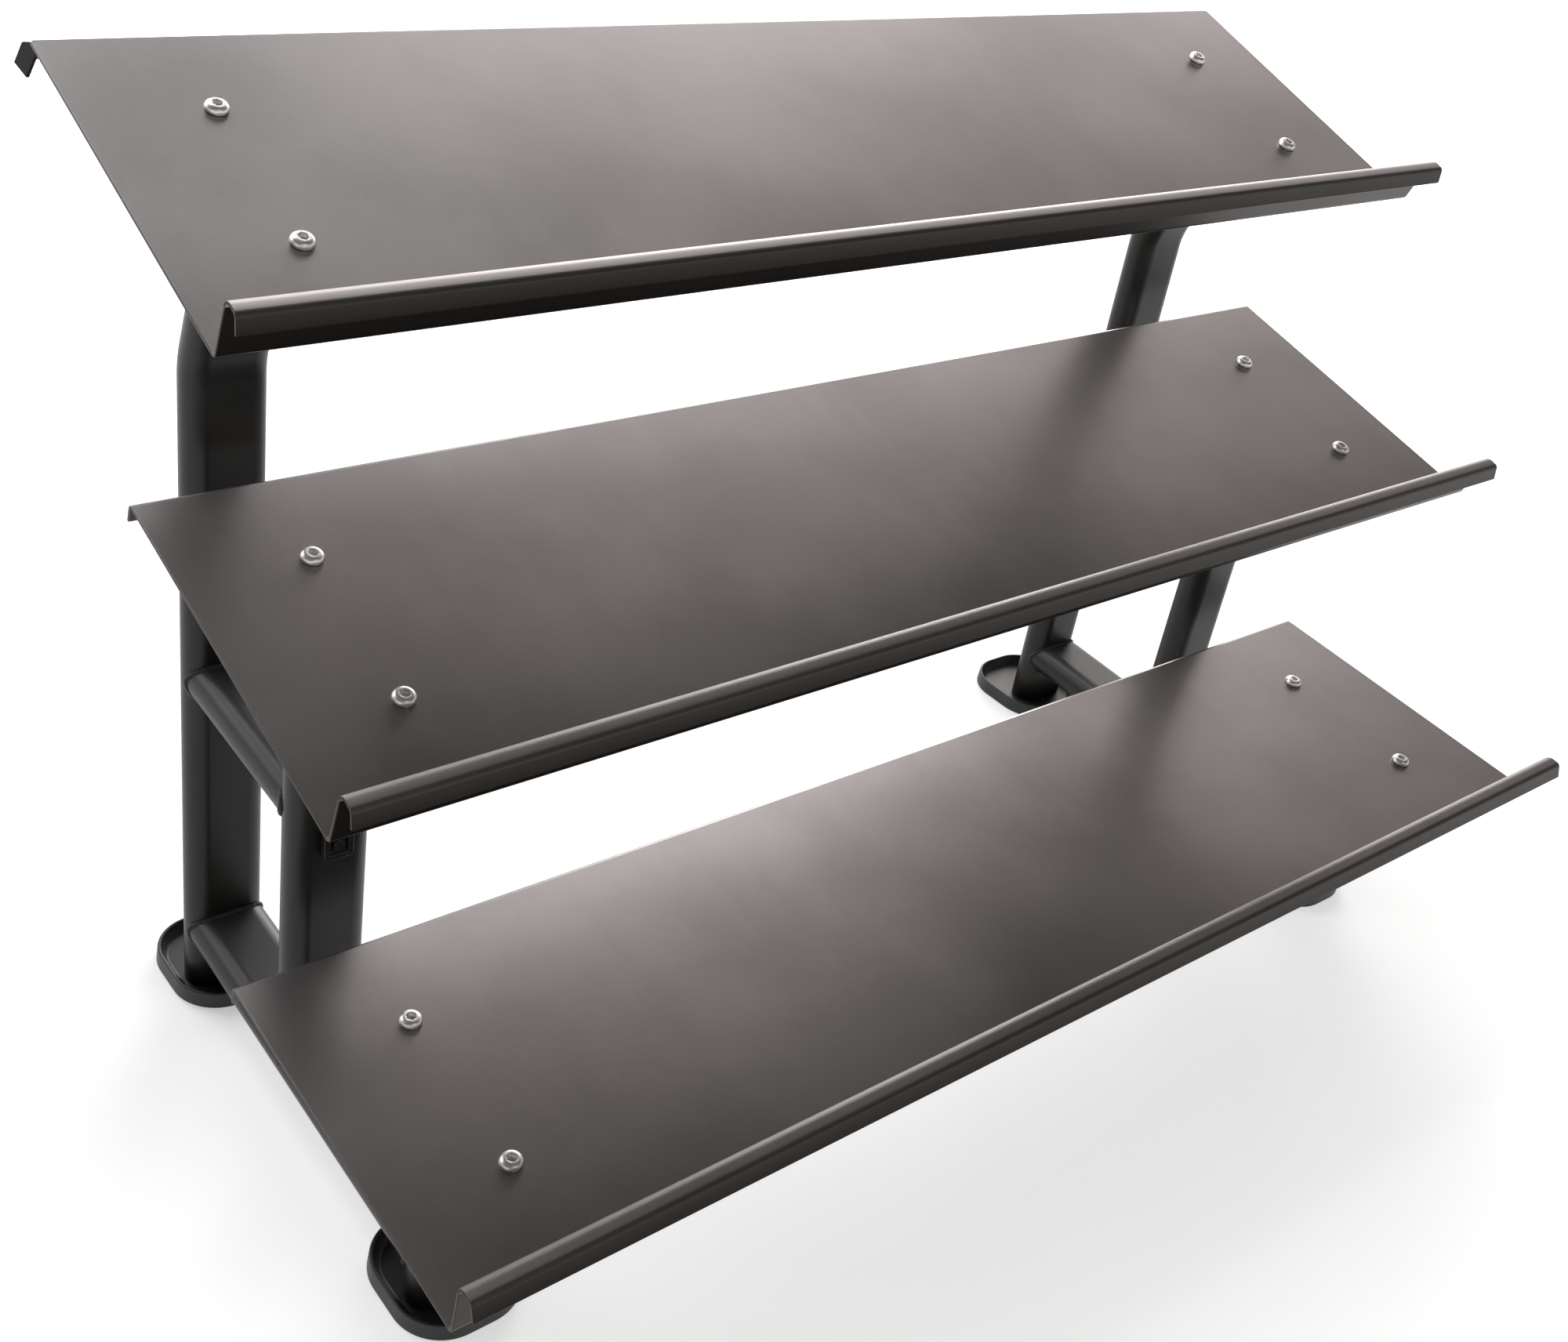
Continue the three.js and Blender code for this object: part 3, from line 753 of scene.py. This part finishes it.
# Skin of a hollow tube: up the outside, over the rounded rim at its end, down the inside, over the other rim.
def tubeGrid(points, tangents, startTrim=None, endTrim=None):
    e, wall = tube["edge"], tube["wall"]
    half = 0.3 * e  # how far the middle of a rounding lies from either face
    rim = [(0, e), (-half, half), (-e, 0), (e - wall, 0), (half - wall, half), (-wall, e)]
    rows = [sweepRing(points[0], tangents[0], g, b, startTrim) for g, b in rim[::-1]]
    rows += [sweepRing(p, t, 0) for p, t in zip(points[1:-1], tangents[1:-1])]
    rows += [sweepRing(points[-1], tangents[-1], g, -b, endTrim) for g, b in rim]
    rows += [sweepRing(p, t, -wall) for p, t in zip(points[-2:0:-1], tangents[-2:0:-1])]
    return np.array(rows)


def straightRun(start, end):  # two points and the direction between them
    tangent = (end - start) / np.linalg.norm(end - start)
    return np.array([start, end]), np.array([tangent, tangent])


# Upright that bends forward by the tier's slope, along an arc that touches both straight runs, and ends
# square to the tier.
def bentRun(base, end, degrees):
    tilt = np.radians(degrees)
    knee = np.array([0, base[1], end[2] - (base[1] - end[1]) / np.tan(tilt)])
    centre = knee + (0, -tube["bend"], -tube["bend"] * np.tan(tilt / 2))
    angle = tilt * np.linspace(0, 1, tube["bendSteps"] + 1)
    zero = 0 * angle
    arc = centre + tube["bend"] * np.stack([zero, np.cos(angle), np.sin(angle)], 1)
    along = np.stack([zero, -np.sin(angle), np.cos(angle)], 1)
    return np.concatenate([[base], arc, [end]]), np.concatenate([along[:1], along, along[-1:]])


rack = {
    "postS": 193.5,  # where a post meets its shelf
    "railSlope": 3,  # degrees
    "baseRail": 78,  # height at the rear post
    "middleRail": 386,
}
postTop = channelUnder - seat


def postEnd(tier):
    return onTier([0, rack["postS"], postTop], tier, origins[tier])


def middleOf(name):
    low, high = boxOf(name)
    return (low + high) / 2


frontY = middleOf("front_post_left")[1]
middleY = boxOf("middle_post_left")[1][1] - tube["thickness"] / 2
rearY = boxOf("rear_post_left")[1][1] - tube["thickness"] / 2
foot = boxOf("rear_post_left")[0][2]
fall = np.tan(np.radians(rack["railSlope"]))


def onRail(height, y):
    return np.array([0, y, height - (rearY - y) * fall])


def againstPost(postY, sign):  # the rail's end follows the post's round side
    return lambda p, t: (postY + sign * ovalDepth(p[:, 0]) - p[:, 1]) / t[1]


def overRail(height):  # the post's foot follows the rail's round side
    rise = np.sqrt(1 + fall**2)
    return lambda p, t: height - (rearY - p[:, 1]) * fall + ovalDepth(p[:, 0]) * rise - p[:, 2]


def underTier(tier):  # the post's top lies along the tier's slope
    a = np.radians(tilts[tier])
    y, z = origins[tier][1:]
    return lambda p, t: z + (postTop + (p[:, 1] - y) * np.sin(a)) / np.cos(a) - p[:, 2]


frontEnd = np.array([0, frontY, postEnd("lower")[2]])
tubes = {
    "front_post": (straightRun(np.array([0, frontY, foot]), frontEnd), None, underTier("lower")),
    "middle_post": (
        bentRun(onRail(rack["baseRail"], middleY), postEnd("middle"), tilts["middle"]),
        overRail(rack["baseRail"]),
        None,
    ),
    "rear_post": (bentRun(np.array([0, rearY, foot]), postEnd("top"), tilts["top"]), None, None),
    "base_rail": (
        straightRun(onRail(rack["baseRail"], rearY), onRail(rack["baseRail"], frontY)),
        againstPost(rearY, -1),
        againstPost(frontY, 1),
    ),
    "middle_rail": (
        straightRun(onRail(rack["middleRail"], rearY), onRail(rack["middleRail"], middleY)),
        againstPost(rearY, -1),
        againstPost(middleY, 1),
    ),
}
for name, ((points, tangents), startTrim, endTrim) in tubes.items():
    grid = tubeGrid(points, tangents, startTrim, endTrim)
    for side, sign in sides.items():
        piece = gridPiece(f"{name}_{side}_look", grid + (sign * frameX, 0, 0), True)
        settle(piece, "frame_paint", [f"{name}_{side}"])
print("tubes drawn")

weld = {
    "radius": 3.4,
    "sunk": 1.3,
    "ripple": 2.4,
    "swell": 0.09,  # share of the radius
    "drift": 0.06,
    "driftKnots": 24,
    "step": 0.4,
    "around": 9,
    "sharp": 80,
}


# Bead: a circle carried along a closed curve, its radius swelling once in each ripple's length and drifting a
# little at random.
def beadGrid(curve):
    closed = np.concatenate([curve, curve[:1]])
    length = np.concatenate([[0], np.cumsum(np.linalg.norm(np.diff(closed, axis=0), axis=1))])
    count = int(length[-1] / weld["step"])
    at = np.linspace(0, length[-1], count, endpoint=False)
    centre = np.stack([np.interp(at, length, closed[:, k]) for k in range(3)], 1)
    tangent = np.roll(centre, -1, 0) - np.roll(centre, 1, 0)
    tangent /= np.linalg.norm(tangent, axis=1)[:, None]
    outward = centre - centre.mean(0)
    outward -= (outward * tangent).sum(1)[:, None] * tangent
    outward /= np.linalg.norm(outward, axis=1)[:, None]
    aside = np.cross(tangent, outward)
    beats = round(length[-1] / weld["ripple"])
    phase = 2 * np.pi * beats * at / length[-1]
    knots = weld["driftKnots"]
    drift = np.interp(at, np.linspace(0, length[-1], knots), random.uniform(-1, 1, knots))
    radius = weld["radius"] * (1 + weld["swell"] * np.sin(phase) + weld["drift"] * drift)
    angle = roundTurn(weld["around"])[None, :, None]
    circle = np.cos(angle) * outward[:, None] + np.sin(angle) * aside[:, None]
    return centre[:, None] + radius[:, None, None] * circle


def beadAt(run, last, trim):  # round the trimmed end of a tube
    point, tangent = (line[-1 if last else 0] for line in run)
    return beadGrid(sweepRing(point, tangent, -weld["sunk"], 0, trim))


beads = {  # the welded ends of each tube, 0 for its start and 1 for its end
    "base_rail": (0, 1),
    "middle_rail": (0, 1),
    "middle_post": (0, 1),
    "front_post": (1,),
    "rear_post": (1,),
}
for name, ends in beads.items():
    run, startTrim, endTrim = tubes[name]
    for last in ends:
        grid = beadAt(run, last, endTrim if last else startTrim)
        for side, sign in sides.items():
            piece = gridPiece(f"{name}_weld{last}_{side}", grid + (sign * frameX, 0, 0), True)
            settle(piece, "frame_paint", [], weld["sharp"])
print("welds laid")

footPad = {
    "width": 126,
    "length": 136,
    "corner": 50,
    "height": 19,
    "floor": 6,  # height of the dish's floor
    "rim": 5,
    "dish": 8,  # how far the bowl reaches in from the rim
    "bowlPower": 0.9,
    "bowlSteps": 11,
    "rimSteps": 12,
    "ease": 2.5,  # rounding of the sole's edge
    "easeSteps": 6,
    "cornerSteps": 16,
    "sharp": 60,
}


# Pad: round-cornered plan drawn in by an inset that follows the section from the sole to the dish's floor.
def footGrid():
    ease, rim, dish = footPad["ease"], footPad["rim"], footPad["dish"]
    high, low = footPad["height"], footPad["floor"]
    turn = np.linspace(0, np.pi / 2, footPad["easeSteps"] + 1)
    sole = np.stack([ease * (1 - np.sin(turn)), ease * (1 - np.cos(turn))], 1)
    over = np.linspace(0, np.pi, footPad["rimSteps"] + 1)
    wide = (rim - ease / 2) / 2
    crest = np.stack([ease / 2 + wide * (1 - np.cos(over)), high - wide + wide * np.sin(over)], 1)
    u = np.linspace(0, 1, footPad["bowlSteps"] + 1)[1:]
    sink = np.sin(u * np.pi / 2) ** footPad["bowlPower"]
    bowl = np.stack([rim + dish * u, high - wide - (high - wide - low) * sink], 1)
    profile = np.concatenate([sole, crest, bowl])
    corner = np.arange(4)[:, None] * np.pi / 2 + np.linspace(0, np.pi / 2, footPad["cornerSteps"] + 1)
    spread = np.array([(1, 1), (-1, 1), (-1, -1), (1, -1)])[:, None]
    half = np.array([footPad["width"], footPad["length"]]) / 2 - footPad["corner"]
    inset = profile[:, 0][:, None, None, None]
    out = np.stack([np.cos(corner), np.sin(corner)], -1)
    plan = (spread * half + (footPad["corner"] - inset) * out).reshape(len(profile), -1, 2)
    height = np.broadcast_to(profile[:, 1][:, None, None], plan.shape[:2] + (1,))
    return np.concatenate([plan, height], -1)


for side in sides:
    for end in ("front", "rear"):
        name = f"{end}_foot_{side}"
        place = middleOf(name) * (1, 1, 0)
        settle(gridPiece(f"{name}_look", footGrid() + place), "rubber", [name], footPad["sharp"])
print("feet moulded")

soft = {
    "channel": (0.8, 3),  # radius of the edges, and steps round it
    "plate": (0.7, 3),
    "hook": (1.0, 4),
    "sharp": 40,  # degrees; sharper edges are rounded
    "flat": 0.01,  # radians; faces nearer than this in angle become one
    "merge": 1e-6,  # metres
}


def softened(name, width, segments):  # a merged copy of a node with its edges rounded
    mesh = frame["nodes"][name].data.copy()
    shape = bmesh.new()
    shape.from_mesh(mesh)
    bmesh.ops.remove_doubles(shape, verts=shape.verts, dist=soft["merge"])
    bmesh.ops.dissolve_limit(shape, angle_limit=soft["flat"], verts=shape.verts, edges=shape.edges)
    shape.to_mesh(mesh)
    shape.free()
    piece = bpy.data.objects.new(f"{name}_look", mesh)
    bpy.context.scene.collection.objects.link(piece)
    bevel = piece.modifiers.new("edges", "BEVEL")
    bevel.width, bevel.segments = width * mm, segments
    bevel.limit_method, bevel.angle_limit = "ANGLE", np.radians(soft["sharp"])
    bake(piece)
    return settle(piece, "frame_paint", [name])


for side in sides:
    for tier in tilts:
        softened(f"{tier}_channel_{side}", *soft["channel"])
    plate = softened(f"top_end_plate_{side}", *soft["plate"])
    plate.data.materials[0] = plateFinish
softened("hook_plate", *soft["hook"])
print("channels and plates softened")

screw = {
    "around": 48,
    "sharp": 30,
    "across": 10,
    "height": 4.5,
    "chamfer": 1.4,
    "chamferSteps": 7,
    "coneSlope": 1.7,
    "coneInset": 0.3,
    "rim": 0.2,
    "shank": 3,
    "length": 16,
    "point": 0.6,
}


# Hexagon head with a chamfered top on a plain shank, its axis laid along Y with the head in front.
def screwGrid():
    angle = roundTurn(screw["around"])
    side = hexReach(angle, screw["across"])
    shank, point, rim = screw["shank"], screw["point"], screw["rim"]
    rows = [(shank - point, -screw["length"]), (shank, point - screw["length"]), (shank, 0)]
    rows += [(side - rim, 0), (side, rim)] + chamferRows(side, screw)
    x, y, z = np.moveaxis(latheGrid(rows, angle), -1, 0)
    return np.stack([x, -z, y], -1)


low, high = boxOf("hook_screw")
screwPlace = ((low + high) / 2 * (1, 0, 1)) + (0, low[1] + screw["height"], 0)
settle(gridPiece("hook_screw_look", screwGrid() + screwPlace), "frame_paint", ["hook_screw"], screw["sharp"])
print("hook screw turned")

studio = {
    "floor": 60,  # metres, as all lengths here
    "floorColour": 0.8,
    "floorRoughness": 0.95,
    "floorGlow": (0.42, 1.0),  # added for what looks straight at the floor, near a point and far from it
    "glowFrom": (0, 1.1, 0),
    "glowReach": (1.0, 2.6),
    "overhead": 0.12,
    "horizon": (0.06, 0.4),  # sines of the heights between which the world darkens
    "middle": (0, 0, 0.6),  # what the soft boxes face
    "distance": 6,
}
# Soft boxes: heading from straight behind the rack round to its right, rise above the floor, and the width
# and height that they take up as seen from the rack, all in degrees.
boxes = {
    "lowBox": {"heading": 40, "rise": 12.5, "span": (24.5, 32), "radiance": 5, "tint": (1.04, 1, 0.98)},
    "highBox": {"heading": -12, "rise": 46.5, "span": (24.5, 36), "radiance": 5, "tint": (1, 1, 1)},
    "leftBox": {"heading": -42, "rise": 26, "span": (24.5, 22), "radiance": 3.2, "tint": (0.99, 1, 1)},
    "middleBox": {"heading": 27, "rise": 46, "span": (24.5, 18), "radiance": 1.4, "tint": (1, 1, 1)},
    "rightBox": {"heading": 40, "rise": 37, "span": (24.5, 18), "radiance": 1.9, "tint": (1.04, 1, 0.98)},
    "sideBox": {"heading": 53, "rise": 18, "span": (24.5, 30), "radiance": 2, "tint": (1.06, 1, 0.97)},
    "farBox": {"heading": 66, "rise": 20, "span": (24.5, 18), "radiance": 1.1, "tint": (1.1, 1, 0.95)},
    "frontBox": {"heading": 180, "rise": 30, "span": (24.5, 18), "radiance": 1.2, "tint": (1, 1, 1)},
}


def seenDirectly(finish):  # 1 for camera, mirror and see-through rays
    path = finish.node("ShaderNodeLightPath")
    rays = [Wire(finish, path.socket.node.outputs[key]) for key in ("Is Glossy Ray", "Is Transmission Ray")]
    return path.most(rays[0]).most(rays[1])


def makeFloor():
    paper = Finish(bpy.data.materials.new("floorPaper"))
    seen = seenDirectly(paper)
    place = paper.node("ShaderNodeTexCoord", out="Object")
    away = paper.node("ShaderNodeVectorMath", {"operation": "DISTANCE"}, [place, studio["glowFrom"]], "Value")
    near, far = studio["floorGlow"]
    glow = paper.mix(away.between(*studio["glowReach"]), grey(near), grey(far))
    paper.surface({
        "Base Color": grey(studio["floorColour"]),
        "Roughness": studio["floorRoughness"],
        "Specular IOR Level": 0.0,
        "Emission Color": paper.mix(seen, grey(0), glow),
        "Emission Strength": 1.0,
    })
    half = studio["floor"] / 2
    corners = [(x * half, y * half, 0) for x, y in ((-1, -1), (1, -1), (1, 1), (-1, 1))]
    mesh = bpy.data.meshes.new("floor")
    mesh.from_pydata(corners, [], [(0, 1, 2, 3)])
    piece = bpy.data.objects.new("floor", mesh)
    bpy.context.scene.collection.objects.link(piece)
    mesh.materials.append(paper.owner)


def makeWorld():  # white round the horizon, darker overhead
    world = bpy.data.worlds.new("studio")
    bpy.context.scene.world = world
    air = Finish(world)
    way = air.node("ShaderNodeTexCoord", out="Generated")
    height = air.node("ShaderNodeSeparateXYZ", None, [way], "Z")
    level = 1 - (1 - studio["overhead"]) * height.between(*studio["horizon"])
    air.feed(air.tree.nodes["Background"].inputs["Color"], (1, 1, 1, 1))
    air.feed(air.tree.nodes["Background"].inputs["Strength"], level)


def addBox(name, box):  # an area lamp's radiance is its power over pi times its area
    heading, rise = np.radians((box["heading"], box["rise"]))
    way = np.array((np.sin(heading) * np.cos(rise), np.cos(heading) * np.cos(rise), np.sin(rise)))
    data = bpy.data.lights.new(name, "AREA")
    data.shape = "RECTANGLE"
    data.size, data.size_y = 2 * studio["distance"] * np.tan(np.radians(box["span"]) / 2)
    data.energy = box["radiance"] * np.pi * data.size * data.size_y
    data.color = box["tint"]
    lamp = bpy.data.objects.new(name, data)
    lamp.visible_camera = False
    lamp.location = way * studio["distance"] + studio["middle"]
    lamp.rotation_euler = Vector(way).to_track_quat("Z", "Y").to_euler()
    bpy.context.scene.collection.objects.link(lamp)


makeFloor()
makeWorld()
for name, box in boxes.items():
    addBox(name, box)
bpy.context.scene.view_settings.view_transform = "Standard"
print("studio lit")
